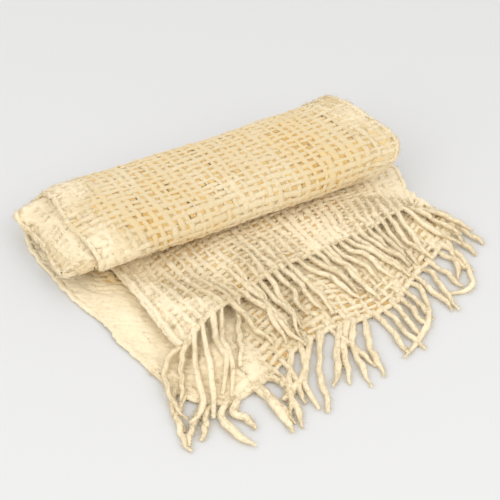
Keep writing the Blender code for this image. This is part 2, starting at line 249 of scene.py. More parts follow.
def flapLayer(upper, shares):
    # straight lines from the hem back to the flat bed under the roll, laid over the mounds
    hem = form["upperHem"] if upper else form["lowerHem"]
    edges = form["upperEdges"] if upper else form["lowerEdges"]
    hemX, hemY = (blurred(fromTable(hem, shares, column), form["hemBlur"], 0) for column in (1, 2))
    backX = edges[0][1] + (edges[0][2] - edges[0][1]) * shares
    along = np.linspace(0.0, 1.0, form["flapRows"])[:, None]
    x = hemX + (backX - hemX) * along
    y = hemY + (form["flatStartY"] - hemY) * along
    return np.stack([x, y, flapHeight(x, y, upper)], axis=-1)


def foldLayer(shares):
    # half circle that joins the two layers at the inner end of the roll
    degrees = np.array([form["endDeg"]])
    points, tangents, normals = rollFrame(degrees)
    turn = np.linspace(0.0, math.pi, form["foldRows"])[1:-1, None]
    radius = 0.5 * form["layerPitch"]
    line = points + radius * (-np.cos(turn) * normals + np.sin(turn) * tangents)
    lower, upper = (
        [fromTable(form[edges], degrees[0], column) for column in (1, 2)]
        for edges in ("lowerEdges", "upperEdges")
    )
    part = turn / math.pi
    left, right = (below + (above - below) * part for below, above in zip(lower, upper))
    x = left + (right - left) * shares[None, :]
    y, z = acrossColumns(line, len(shares))
    return unevenness(np.stack([x, y, z], axis=-1))


# How the cloth is woven: ends run with the length, picks run across it.
weave = {
    "endCount": 34,
    "pickPitch": 0.0165,
    "steps": 4,                       # lattice steps from one thread to the next
    "inset": 0.012,                   # share of the width left for the selvedge's own thickness
    "lowerSqueeze": (1.0, 0.90),      # pick spacing on the flap, left and right, as a share of the pitch
    "upperSqueeze": (1.0, 0.66),
    "evenFromDeg": 150,               # picks run level with the roll from here on
    "rowBlur": (3.0, 1.5),            # along the rows' steps and across the columns
    "pickBlur": 8.0,
    "normalBlur": (3.0, 2.0),
    "raised": 0.0007,
    "innerPicks": (14.0, 3.0),        # level picks before the hidden stretch, and picks after it
    "sharedJitter": 0.18,             # how far neighbours stray together, as a share of the spacing
    "sharedBlur": (12.0, 8.0),
    "pickJitter": 0.12,               # and each on its own
    "endJitter": 0.11,
    "endBlur": 7.0,
    "acrossBlur": 8.0,
    "wander": 0.00055,
    "wanderBlur": 1.2,
    "lift": 0.0010,                   # how far a thread rises and dips at a crossing
    "floorGap": 0.0049,
    "flapRaise": 0.0014,              # the ends stand proud of the picks on the upper flap
    "flapCalm": 0.50,
    "flapReach": 2.0,                 # picks by which a flap's finish runs on under the roll
    "flapFade": (4.0, 6.0),           # picks over which felting fades out there, and colour
    "selvedgeStray": 0.3,             # share of the straying and of the lift that the selvedges keep
    "selvedgeLift": 0.2,
    "pickShare": 0.38,                # greatest half width of a pick as a share of the pick spacing
}


def rowLengths(rows):
    # running sum of the distance from each row to the next, for every column
    lengths = np.zeros(rows.shape[:2])
    lengths[1:] = np.cumsum(np.linalg.norm(np.diff(rows, axis=0), axis=-1), axis=0)
    return lengths


def wovenLattice():
    # every column's length is counted in picks, then points are read off at each quarter of a pick
    columns = np.linspace(weave["inset"], 1.0 - weave["inset"], (weave["endCount"] - 1) * weave["steps"] + 1)
    lowerFlap = flapLayer(False, columns)
    upperFlap = flapLayer(True, columns)[::-1]
    lowerRoll = rollLayer(-1, form["lowerEdges"], columns)
    upperRoll = rollLayer(1, form["upperEdges"], columns)[::-1]
    rows = np.concatenate([lowerFlap, lowerRoll, foldLayer(columns), upperRoll, upperFlap])
    marks = {
        "lowerFlat": len(lowerFlap) - 1,
        "lowerEven": len(lowerFlap) + weave["evenFromDeg"],
        "fold": len(lowerFlap) + len(lowerRoll) + 4,
        "upperEven": len(rows) - len(upperFlap) - 1 - weave["evenFromDeg"],
        "upperFlat": len(rows) - len(upperFlap),
    }
    mean = rowLengths(rows).mean(axis=1)
    even = np.arange(0.0, mean[-1], form["rowStep"])
    at = np.interp(even, mean, np.arange(len(rows)))
    base = np.minimum(at.astype(int), len(rows) - 2)
    part = (at - base)[:, None, None]
    rows = rows[base] * (1 - part) + rows[base + 1] * part
    for axis, width in enumerate(weave["rowBlur"]):
        rows = blurred(rows, width, axis)
    marks = {name: int(round(np.interp(value, at, np.arange(len(at))))) for name, value in marks.items()}
    lengths = rowLengths(rows)
    pitch = weave["pickPitch"]
    picks = np.zeros_like(lengths)
    squeeze = [
        left + (right - left) * columns for left, right in (weave["lowerSqueeze"], weave["upperSqueeze"])
    ]
    flat, level = marks["lowerFlat"], marks["lowerEven"]
    lowerFlapPicks = lengths[flat] / (pitch * squeeze[0])
    lowerBedPicks = (lengths[level] - lengths[flat]).mean() / pitch
    lowerStart = lowerFlapPicks.mean() + lowerBedPicks
    flat2, level2 = marks["upperFlat"], marks["upperEven"]
    upperFlapPicks = (lengths[-1] - lengths[flat2]) / (pitch * squeeze[1])
    upperBedPicks = (lengths[flat2] - lengths[level2]).mean() / pitch
    upperStart = upperFlapPicks.mean() + upperBedPicks
    middle = (lengths[level2] - lengths[level]).mean() / pitch
    total = round(lowerStart + middle + upperStart)
    stretches = (                     # from row, to row, picks before it, picks in it
        (0, flat, 0.0, lowerFlapPicks),
        (flat, level, lowerFlapPicks, lowerStart - lowerFlapPicks),
        (level, level2, lowerStart, total - lowerStart - upperStart),
        (level2, flat2, total - upperStart, upperStart - upperFlapPicks),
        (flat2, len(rows) - 1, total - upperFlapPicks, upperFlapPicks),
    )
    for first, last, before, within in stretches:
        share = (lengths[first:last + 1] - lengths[first]) / (lengths[last] - lengths[first])
        picks[first:last + 1] = before + share * within
    picks = blurred(picks, weave["pickBlur"], 0)
    picks -= picks[:1]
    picks *= total / picks[-1:]
    wanted = np.arange(total * weave["steps"] + 1) / weave["steps"]
    lattice = np.empty((len(wanted), len(columns), 3))
    for column in range(len(columns)):
        for axis in range(3):
            lattice[:, column, axis] = np.interp(wanted, picks[:, column], rows[:, column, axis])
    foldPick = int(round(picks[marks["fold"]].mean()))
    lattice[..., 2] += weave["raised"] + np.maximum(0.0, weave["floorGap"] - weave["raised"] - lattice[..., 2])
    lattice += np.array(form["shift"])
    upperFlapFrom = total - upperFlapPicks.mean()
    innerAfter, innerBefore = weave["innerPicks"]
    bandPicks = {
        "lowerFlap": lowerFlapPicks.mean(), "fold": foldPick, "upperFlap": upperFlapFrom, "total": total,
        "innerFrom": lowerStart + innerAfter, "innerTo": upperFlapFrom - innerBefore,
    }
    return lattice, bandPicks


lattice, bandPicks = wovenLattice()
print("lattice", lattice.shape, {name: round(float(value), 1) for name, value in bandPicks.items()})

steps = weave["steps"]
pickAt = np.arange(lattice.shape[0]) / steps
endAt = np.arange(lattice.shape[1]) / steps
alongLength = np.gradient(lattice, axis=0) * steps       # one pick
alongWidth = np.gradient(lattice, axis=1) * steps        # one end
faceNormal = unit(np.cross(alongWidth, alongLength))
for axis, width in enumerate(weave["normalBlur"]):
    faceNormal = blurred(faceNormal, width, axis)
faceNormal = unit(faceNormal)


def onFlaps(picks, fade):
    # 1 on the lower and on the upper flap, 0 on the roll, with a smooth step over fade picks between
    lower = smoothStep((bandPicks["lowerFlap"] + weave["flapReach"] - picks) / fade)
    upper = smoothStep((picks - bandPicks["upperFlap"] + weave["flapReach"]) / fade)
    return lower, upper


# Felted and open places: 1 where the holes have closed, below 0 where they stand wide.
closed = {
    "rollEnd": (0.8, 7.6),            # ends from the left where the roll is felted
    "rollRight": (28.5, 33.0),
    "flapRight": (22.0, 34.0),
    "lowerFlapEnd": (7.0, 14.0),
    "upperFlapEnd": (0.0, 3.0),
    "rightShares": (0.7, 0.6, 0.8),   # how far the right edge closes: roll, lower flap, upper flap
    "hemPicks": 1.5,
    "hemShare": 0.4,
    "base": 0.22,
    "flapBase": 0.70,
    "patches": 0.34,
    "patchBlur": (16.0, 12.0),
    "ragged": 1.7,                    # how far the felted end reaches in and out, in ends
    "raggedBlur": (14.0, 6.0),
    "widest": -0.5,
    "feltedFrom": 0.58,               # closedness at which the wool begins to felt over, and at which it has
    "feltedAt": 0.98,
    "looseOver": 0.04,                # a loose patch closes no further past feltedFrom
}


def closedField():
    # a ramp from each left edge, a ramp at both hems, and soft random patches
    ends = endAt[None, :] + closed["ragged"] * softNoise(lattice.shape[:2], closed["raggedBlur"])
    picks = pickAt[:, None]

    def ramp(name):
        # 1 up to the first end named, and a smooth step down to 0 at the second
        start, finish = closed[name]
        return 1.0 - smoothStep((ends - start) / (finish - start))

    def edges(left, right, share):
        # the greater of the left edge's ramp and a share of the right edge's
        return np.maximum(ramp(left), share * (1.0 - ramp(right)))

    rollShare, lowerShare, upperShare = closed["rightShares"]
    roll = edges("rollEnd", "rollRight", rollShare) * np.ones_like(picks)
    lowerEnd = edges("lowerFlapEnd", "flapRight", lowerShare)
    upperEnd = edges("upperFlapEnd", "flapRight", upperShare)
    lower, upper = onFlaps(picks, weave["flapFade"][0])
    sides = roll + lower * (lowerEnd - roll) + upper * (upperEnd - roll)
    hem = np.maximum(1.0 - picks / closed["hemPicks"], 1.0 - (bandPicks["total"] - picks) / closed["hemPicks"])
    base = closed["base"] + (closed["flapBase"] - closed["base"]) * np.maximum(lower, upper)
    patches = base + closed["patches"] * softNoise(lattice.shape[:2], closed["patchBlur"])
    loose = np.maximum(patches, closed["hemShare"] * hem)
    loose = np.minimum(loose, closed["feltedFrom"] + closed["looseOver"])
    return np.clip(sides + loose * (1 - sides), closed["widest"], 1.0)


closedness = closedField()
felted = smoothStep((closedness - closed["feltedFrom"]) / (closed["feltedAt"] - closed["feltedFrom"]))
shared = [softNoise(lattice.shape[:2], weave["sharedBlur"]) * weave["sharedJitter"] for _ in range(2)]
swayed = lattice + shared[0][..., None] * alongLength + shared[1][..., None] * alongWidth

# Thread sizes: half width and half height in metres, and how unevenly it is spun.
threads = {
    "sides": 6,
    "end": (0.0068, 0.0029),
    "pick": (0.0060, 0.0028),
    "uneven": 0.18,
    "slubs": 0.10,
    "slubBlur": 1.2,
    "endSpin": 6.0,                   # lattice steps over which an end's thickness swells, and a pick's
    "pickSpin": 7.0,
    "flatness": (0.4, 0.6),           # height that stays, and height that follows the thickness
    "thinnest": 0.45,
    "fluff": 0.10,
    "closedGrowth": 0.12,
    "feltedGrowth": 0.14,
    "feltedCalm": 0.66,               # how much a felted place evens out the threads
    "feltedPale": 0.98,
    "selvedge": (0.0058, 0.0036),
    "band": (0.0100, 0.0070),         # the rolled edge of the upper flap
    "bandEven": (0.8, 0.2),
    "bandPicks": 4.0,
    "turnOut": 0.0032,                # how far a pick's turn stands out at the selvedge
    "turnCalm": 0.8,
    "turnThin": 0.8,
    "turnBare": 0.5,
    "turnPoints": 6,
    "twist": 240.0,                   # radians of spin per metre
    "flankPaintedShade": 0.34,                    # painted shade: how much deeper the colour is on a thread's sides
    "innerPaintedShade": 0.45,               # and painted shade on the layers inside the roll
    "innerFade": 4.0,                 # picks over which that painted shade comes and goes
    "innerEnds": (5.0, 5.0),          # ends from the left where it begins, and over which
    "lowerPaintedLight": (-0.10, 1.15),       # painted light: how much paler each flap is, at the left and at the right
    "upperPaintedLight": (0.12, 1.10),
    "rollPaintedShade": 0.12,                 # painted shade: how much deeper the roll is
}


def meshOf(name, points, faces):
    # faces all have one number of corners, so each starts that many after the last
    mesh = bpy.data.meshes.new(name)
    mesh.vertices.add(len(points))
    mesh.vertices.foreach_set("co", points.reshape(-1).astype(np.float32))
    mesh.loops.add(faces.size)
    mesh.loops.foreach_set("vertex_index", faces.reshape(-1).astype(np.int32))
    mesh.polygons.add(len(faces))
    mesh.polygons.foreach_set("loop_start", np.arange(0, faces.size, faces.shape[1], dtype=np.int32))
    mesh.polygons.foreach_set("use_smooth", np.ones(len(faces), bool))
    mesh.update(calc_edges=True)
    mesh.validate()
    obj = bpy.data.objects.new(name, mesh)
    bpy.context.scene.collection.objects.link(obj)
    return obj


def addPlace(obj, spinPlace, tones, paintedShades):
    # what the wool's pattern reads: place along and round the thread, its own tone, and how much painted shade
    # it takes
    for name, kind, field, values in (
        ("spinPlace", "FLOAT_VECTOR", "vector", spinPlace),
        ("tone", "FLOAT", "value", tones),
        ("recess", "FLOAT", "value", paintedShades),
    ):
        attribute = obj.data.attributes.new(name, kind, "POINT")
        attribute.data.foreach_set(field, values.reshape(-1).astype(np.float32))


def tubes(name, paths, normals, wide, high, sides, tints, depth=0.0, bare=1.0, fluff=threads["fluff"]):
    # rings of (wide cos a) across and (high sin a) off the face, carried along each path, both tips closed
    count, length = paths.shape[:2]
    along = unit(np.gradient(paths, axis=1))
    off = unit(normals - (normals * along).sum(axis=-1, keepdims=True) * along)
    across = np.cross(along, off)
    angle = np.arange(sides) / sides * 2 * math.pi
    rough = 1.0 + fluff * rng.normal(size=(count, length, sides, 1))
    ring = (
        (wide[..., None] * np.cos(angle))[..., None] * across[:, :, None]
        + (high[..., None] * np.sin(angle))[..., None] * off[:, :, None]
    )
    points = paths[:, :, None] + ring * rough
    points[..., 2] = np.maximum(points[..., 2], form["lowest"])
    distance = np.zeros((count, length))
    distance[:, 1:] = np.cumsum(np.linalg.norm(np.diff(paths, axis=1), axis=-1), axis=1)
    spin = angle + threads["twist"] * distance[..., None]
    spinPlace = np.stack(
        [np.repeat(distance[..., None], sides, axis=-1) + tints[:, None, None],
         wide[..., None] * np.cos(spin), wide[..., None] * np.sin(spin)], axis=-1
    )
    index = np.arange(count * length * sides).reshape(count, length, sides)
    a, b = index[:, :-1], index[:, 1:]
    walls = np.stack([a, np.roll(a, -1, axis=2), np.roll(b, -1, axis=2), b], axis=-1).reshape(-1, 4)
    caps = []
    for k in range(1, sides - 1, 2):
        quad = (0, k, k + 1, k + 2) if k + 2 <= sides - 1 else (0, k, k + 1, k + 1)
        caps.append(index[:, 0][:, quad[::-1]])
        caps.append(index[:, -1][:, quad])
    faces = np.concatenate([walls] + [cap.reshape(-1, 4) for cap in caps])[:, ::-1]
    obj = meshOf(name, points.reshape(-1, 3), faces)
    # painted shade on a thread's sides where it is bare of felt, plus the painted shade given for its place
    flankPaintedShade = (1.0 - np.abs(np.sin(angle))) * np.broadcast_to(bare, (count, length))[..., None]
    recess = threads["flankPaintedShade"] * flankPaintedShade + np.broadcast_to(depth, (count, length))[..., None]
    addPlace(obj, spinPlace, np.repeat(tints, length * sides), recess)
    return obj, points, paths[:, :, None] * np.ones((1, 1, sides, 1)), np.broadcast_to(depth, (count, length))


def paintedFlapLight(picks, ends):
    # painted light on the flaps: each flap's share, 1 on it and 0 off it, times a straight line from its left
    # setting to its right one; painted shade on the roll
    lower, upper = onFlaps(picks, weave["flapFade"][1])
    paler = -threads["rollPaintedShade"] * (1.0 - lower - upper)
    for part, (left, right) in ((lower, threads["lowerPaintedLight"]), (upper, threads["upperPaintedLight"])):
        paler = paler + part * (left + (right - left) * ends / (weave["endCount"] - 1))
    return paler


def innerPaintedShade(picks, ends):
    # painted shade on the inner layer and the inner turns of the roll, 0 on both flaps, the outer turn and the
    # left end
    enter = smoothStep((picks - bandPicks["innerFrom"]) / threads["innerFade"])
    leave = smoothStep((bandPicks["innerTo"] - picks) / threads["innerFade"])
    start, width = threads["innerEnds"]
    return threads["innerPaintedShade"] * enter * leave * smoothStep((ends - start) / width)


def threadPaintedShade(picks, ends, calm):
    # painted shade of the inner layers, less what felting takes off and less the flaps' painted light
    return innerPaintedShade(picks, ends) - threads["feltedPale"] * calm - paintedFlapLight(picks, ends)


def spun(shape, width, settings=threads):
    # thick and thin of a hand-spun thread along the second axis: slow swelling plus short slubs
    slow = settings["uneven"] * softNoise(shape, (0, width))
    short = settings["slubs"] * softNoise(shape, (0, threads["slubBlur"]))
    return np.maximum(1.0 + slow + short, threads["thinnest"])


def threadSize(wide, high, swelling, closing, calm):
    # thickness, calmer where felted; half width grows where holes close; half height follows it only in part
    thick = 1.0 + (spun(calm.shape, swelling) - 1.0) * (1.0 - calm)
    growth = 1.0 + threads["closedGrowth"] * closing + threads["feltedGrowth"] * calm
    stays, follows = threads["flatness"]
    return thick, wide * thick * growth, high * (stays + follows * thick)


def endThreads(name, fromPick, toPick):
    # column i of the lattice plus lift * (-1)^i * cos(pi * pick) along the face normal
    rowsUsed = slice(fromPick * steps, toPick * steps + 1)
    picks = pickAt[rowsUsed]
    endNumbers = np.arange(weave["endCount"])[:, None]
    centre, sideways, normals, soft, closing = (
        np.swapaxes(field[rowsUsed, ::steps], 0, 1)
        for field in (swayed, alongWidth, faceNormal, felted, closedness)
    )
    jitter = softNoise((weave["endCount"], len(picks)), (0, weave["endBlur"])) * weave["endJitter"]
    jitter[[0, -1]] *= weave["selvedgeStray"]
    calm = threads["feltedCalm"] * soft
    fade = threads["bandPicks"]
    upperFlap = smoothStep((picks - bandPicks["upperFlap"] + fade) / fade)[None, :]
    flip = np.where(endNumbers % 2 == 0, 1.0, -1.0)
    lift = weave["lift"] * flip * np.cos(math.pi * picks)[None, :] * (1.0 - calm)
    lift = lift * (1.0 - weave["flapCalm"] * upperFlap)
    lift[[0, -1]] *= weave["selvedgeLift"]
    paths = centre + jitter[..., None] * sideways + lift[..., None] * normals
    paths = paths + weave["wander"] * softNoise(paths.shape, (0, weave["wanderBlur"], 0))
    paths[..., 2] += weave["flapRaise"] * upperFlap
    thick, wide, high = threadSize(*threads["end"], threads["endSpin"], closing, calm)
    stays, follows = threads["bandEven"]
    for k, size in ((0, wide), (1, high)):
        plain = threads["selvedge"][k] * thick[[0, -1]]
        size[[0, -1]] = plain
        size[0] += (threads["band"][k] * (stays + follows * thick[0]) - plain[0]) * upperFlap[0]
    depth = threadPaintedShade(picks[None, :], endNumbers, calm)
    tints = rng.uniform(0, 1, weave["endCount"])
    return tubes(name, paths, normals, wide, high, threads["sides"], tints, depth, 1.0 - calm)


def pickThreads(name, fromPick, toPick):
    # row k of the lattice less lift * (-1)^k * cos(pi * end), with half a turn at the selvedge to the next row
    picksUsed = np.arange(fromPick, toPick + 1)
    centre, lengthways, widthways, normals, soft, closing = (
        field[picksUsed * steps] for field in (swayed, alongLength, alongWidth, faceNormal, felted, closedness)
    )
    jitter = softNoise((len(picksUsed), len(endAt)), (0, weave["acrossBlur"])) * weave["pickJitter"]
    flip = np.where(picksUsed % 2 == 0, -1.0, 1.0)[:, None]
    calm = threads["feltedCalm"] * soft
    lift = weave["lift"] * flip * np.cos(math.pi * endAt)[None, :] * (1.0 - calm)
    paths = centre + jitter[..., None] * lengthways + lift[..., None] * normals
    paths = paths + weave["wander"] * softNoise(paths.shape, (0, weave["wanderBlur"], 0))
    halfWide = np.minimum(threads["pick"][0], weave["pickShare"] * np.linalg.norm(lengthways, axis=-1))
    _, wide, high = threadSize(halfWide, threads["pick"][1], threads["pickSpin"], closing, calm)
    depth = threadPaintedShade(picksUsed[:, None], endAt[None, :], calm)
    fields = (paths, normals, wide[..., None], high[..., None], depth[..., None], 1.0 - calm[..., None])
    turn = np.linspace(0, math.pi, threads["turnPoints"])[1:-1, None]
    keep = np.ones((len(turn), 1))
    pieces = []
    for row in range(len(picksUsed)):
        order = slice(None) if row % 2 == 0 else slice(None, None, -1)
        pieces.append([field[row, order] for field in fields])
        if row == len(picksUsed) - 1:
            break
        side = -1 if row % 2 == 0 else 0
        out = (1 if side == -1 else -1) * widthways[row, side]
        out = out / np.linalg.norm(out) * threads["turnOut"] * (1.0 - threads["turnCalm"] * calm[row, side])
        first, last = paths[row, side], paths[row + 1, side]
        bend = first + (last - first) * (1 - np.cos(turn)) / 2 + out * np.sin(turn)
        pieces.append([
            bend, keep * normals[row, side],
            keep * wide[row, side] * threads["turnThin"], keep * high[row, side],
            keep * depth[row, side], keep * threads["turnBare"],
        ])
    line, normals, wide, high, depth, bare = (
        np.concatenate([piece[k] for piece in pieces])[None] for k in range(len(fields))
    )
    return tubes(
        name, line, normals, wide[..., 0], high[..., 0], threads["sides"], rng.uniform(0, 1, 1),
        depth[..., 0], bare[..., 0]
    )


# Felt that has closed or narrowed a hole between four crossings; in open holes its colour is painted shade.
felt = {
    "half": 0.46,                     # half size as a share of the spacing of the threads
    "innerSpread": 0.12,
    "sizes": (0.80, 0.25),            # smallest size, and how fast it grows where a hole is more closed
    "stray": 1.3,                     # how far a small one moves towards one side of its hole
    "line": (-1.0, -0.4, 0.4, 1.0),   # the grid of its points, along and across
    "thick": 0.0011,
    "feltedThick": 0.0012,
    "rough": 0.35,
    "depth": 0.0010,
    "fill": 2.6,
    "leastFill": 1.0,
    "feltedTo": 0.9,                  # the skin alone covers what is felted further
    # painted shade given to a web in an open hole
    "recess": 1.20,
    "skinFrom": 0.10,                 # the felted wool's own skin begins here
    "skinStep": 2,                    # lattice steps from one of its points to the next
    "skinBlur": 1.0,
    "skinThick": 0.0045,
    "skinLeast": 0.12,
    "skinLumps": 0.32,
    "lumpBlur": (0.7, 0.7),
    "skinGroove": 0.16,
    "skinDimple": (0.62, 0.24),       # how far it dips over a hole, as a share, and how unevenly
    # painted shade in the skin's dimples over holes, and at its thin rim
    "dimplePaintedShade": 0.95,
    "dimpleFelted": 1.4,              # less the felting, how much of that painted shade a dimple has
    "rimPaintedShade": 0.6,
    "skinTone": (0.5, 0.2),
    "toneBlur": (1.5, 1.5),
}


def feltWebs(name, fromPick, toPick):
    # a lens on a small grid in each chosen hole, pushed to one side: height = thick * (1 - u^2)(1 - v^2)
    half = steps // 2
    cellPicks = np.arange(fromPick, toPick)
    rowIndex = (cellPicks * steps + half)[:, None]
    columnIndex = (np.arange(weave["endCount"] - 1) * steps + half)[None, :]
    chance = rng.uniform(0.0, 1.0, (len(cellPicks), weave["endCount"] - 1))
    amount = np.maximum(closedness[rowIndex, columnIndex] * felt["fill"], felt["leastFill"])
    inner = innerPaintedShade(cellPicks[:, None], endAt[columnIndex]) / threads["innerPaintedShade"]
    chosen = ((amount > chance) | (inner > 0.5)) & (felted[rowIndex, columnIndex] < felt["feltedTo"])
    centre, width, length, normal, full = (
        field[rowIndex, columnIndex][chosen] for field in (swayed, alongWidth, alongLength, faceNormal, felted)
    )
    count = len(centre)
    full = full[:, None]
    least, growth = felt["sizes"]
    size = np.clip(least + growth * (amount[chosen] - chance[chosen]), least, 1.0)[:, None]
    inside = inner[chosen][:, None]
    size = np.maximum(size, np.maximum(full, inside))
    spread = 1.0 + felt["innerSpread"] * inside
    across = width * felt["half"] * size * spread
    down = length * felt["half"] * size * spread
    offset = (1.0 - size) * rng.uniform(-felt["stray"], felt["stray"], (count, 2))
    aside = felt["depth"] * rng.uniform(-1, 1, (count, 1)) * (1.0 - full)
    centre = centre + across * offset[:, :1] + down * offset[:, 1:] + normal * aside
    side = len(felt["line"])
    u, v = np.meshgrid(felt["line"], felt["line"], indexing="ij")
    u, v = u.reshape(-1), v.reshape(-1)
    bulge = (1 - u ** 2) * (1 - v ** 2)
    flat = centre[:, None] + across[:, None] * u[None, :, None] + down[:, None] * v[None, :, None]
    rough = 1.0 + felt["rough"] * rng.normal(size=(count, side * side, 1))
    thick = felt["thick"] + felt["feltedThick"] * full
    rise = thick[..., None] * bulge[None, :, None] * rough * normal[:, None]
    raised = np.flatnonzero(bulge > 1e-6)
    points = np.concatenate([flat + rise, (flat - rise)[:, raised]], axis=1)
    points[..., 2] = np.maximum(points[..., 2], form["lowest"])
    grid = np.arange(side * side).reshape(side, side)
    below = grid.reshape(-1).copy()
    below[raised] = len(below) + np.arange(len(raised))
    cells = np.stack([grid[:-1, :-1], grid[1:, :-1], grid[1:, 1:], grid[:-1, 1:]], axis=-1).reshape(-1, 4)
    faces = np.concatenate([cells, below[cells][:, ::-1]])
    perWeb = points.shape[1]
    allFaces = (faces[None] + perWeb * np.arange(count)[:, None, None]).reshape(-1, 4)
    obj = meshOf(name, points.reshape(-1, 3), allFaces)
    # painted shade: webs in open holes take a deep colour, inner layers deeper, felted flaps paler by painted
    # light
    depths = threads["innerPaintedShade"] * inside[:, 0]
    depths = depths - paintedFlapLight(cellPicks[:, None], endAt[columnIndex])[chosen] * full[:, 0]
    depths = depths + felt["recess"] * (1.0 - full[:, 0])
    depths = depths - threads["feltedPale"] * threads["feltedCalm"] * full[:, 0]
    addPlace(obj, points, np.repeat(rng.uniform(0, 1, count), perWeb), np.repeat(depths, perWeb))
    return obj


def feltSkin(name, fromPick, toPick):
    # the lattice pushed out both ways by thick * felted * (1 + lumps - dimples - grooves), closed at the rim
    gap = felt["skinStep"]
    rowsUsed = slice(fromPick * steps, toPick * steps + 1, gap)
    grid, normal, amount = (field[rowsUsed, ::gap] for field in (swayed, faceNormal, felted))
    shape = amount.shape
    amount = np.clip(blurred(blurred(amount, felt["skinBlur"], 0), felt["skinBlur"], 1), 0.0, 1.0)
    corners = (amount[:-1, :-1], amount[1:, :-1], amount[1:, 1:], amount[:-1, 1:])
    covered = np.minimum.reduce(corners) > felt["skinFrom"]
    padded = np.pad(covered, 1)
    within = padded[:-1, :-1] & padded[1:, :-1] & padded[1:, 1:] & padded[:-1, 1:]
    lumps = softNoise(shape, felt["lumpBlur"])
    oddRow, oddColumn = (np.arange(shape[0]) % 2)[:, None], (np.arange(shape[1]) % 2)[None, :]
    dip, dipSpread = felt["skinDimple"]
    dimple = oddRow * oddColumn * (dip + dipSpread * np.roll(lumps, 3, axis=0))       # over a hole
    groove = oddRow ^ oddColumn                                                       # between two threads
    rise = np.maximum(1.0 + felt["skinLumps"] * lumps - dimple - felt["skinGroove"] * groove, felt["skinLeast"])
    height = felt["skinThick"] * amount * rise * within
    raised = height[..., None] * normal
    points = np.concatenate([grid + raised, grid - raised]).reshape(-1, 3)
    points[:, 2] = np.maximum(points[:, 2], form["lowest"])
    top = np.arange(amount.size).reshape(shape)
    under = np.where(within, top + amount.size, top)
    faces = []
    for index, order in ((top, (3, 2, 1, 0)), (under, (0, 1, 2, 3))):
        corner = (index[:-1, :-1], index[1:, :-1], index[1:, 1:], index[:-1, 1:])
        faces.append(np.stack([corner[k][covered] for k in order], axis=-1))
    faces = np.concatenate(faces)
    used, faces = np.unique(faces, return_inverse=True)
    obj = meshOf(name, points[used], faces.reshape(-1, 4))
    picks = pickAt[rowsUsed][:, None]
    ends = endAt[None, ::gap]
    # painted shade: inner layers, dimples and the rim deeper; flaps paler by painted light
    depth = innerPaintedShade(picks, ends) - paintedFlapLight(picks, ends)
    depth = depth - threads["feltedPale"] * threads["feltedCalm"] * amount
    depth = depth + felt["dimplePaintedShade"] * dimple * (felt["dimpleFelted"] - amount)
    depth = np.tile((depth + felt["rimPaintedShade"] * (1.0 - amount)).reshape(-1), 2)
    tone, toneSpread = felt["skinTone"]
    tones = np.tile(tone + toneSpread * softNoise(shape, felt["toneBlur"]).reshape(-1), 2)
    addPlace(obj, points[used], tones[used], depth[used])
    return obj


foldPick = bandPicks["fold"]
lastPick = bandPicks["total"]
lowerEnds = endThreads("lower_layer_ends", 0, foldPick)
upperEnds = endThreads("upper_layer_ends", foldPick, lastPick)
lowerPicks = pickThreads("lower_layer_picks", 0, foldPick)
upperPicks = pickThreads("upper_layer_picks", foldPick + 1, lastPick)
lowerFelt = feltWebs("lower_layer_felt", 0, foldPick)
upperFelt = feltWebs("upper_layer_felt", foldPick + 1, lastPick)
lowerSkin = feltSkin("lower_layer_felted_end", 0, foldPick)
upperSkin = feltSkin("upper_layer_felted_end", foldPick, lastPick)
print("felt", [len(made.data.polygons) * 2 for made in (lowerFelt, upperFelt, lowerSkin, upperSkin)])
print("threads", [len(made[0].data.polygons) * 2 for made in (lowerEnds, upperEnds, lowerPicks, upperPicks)])

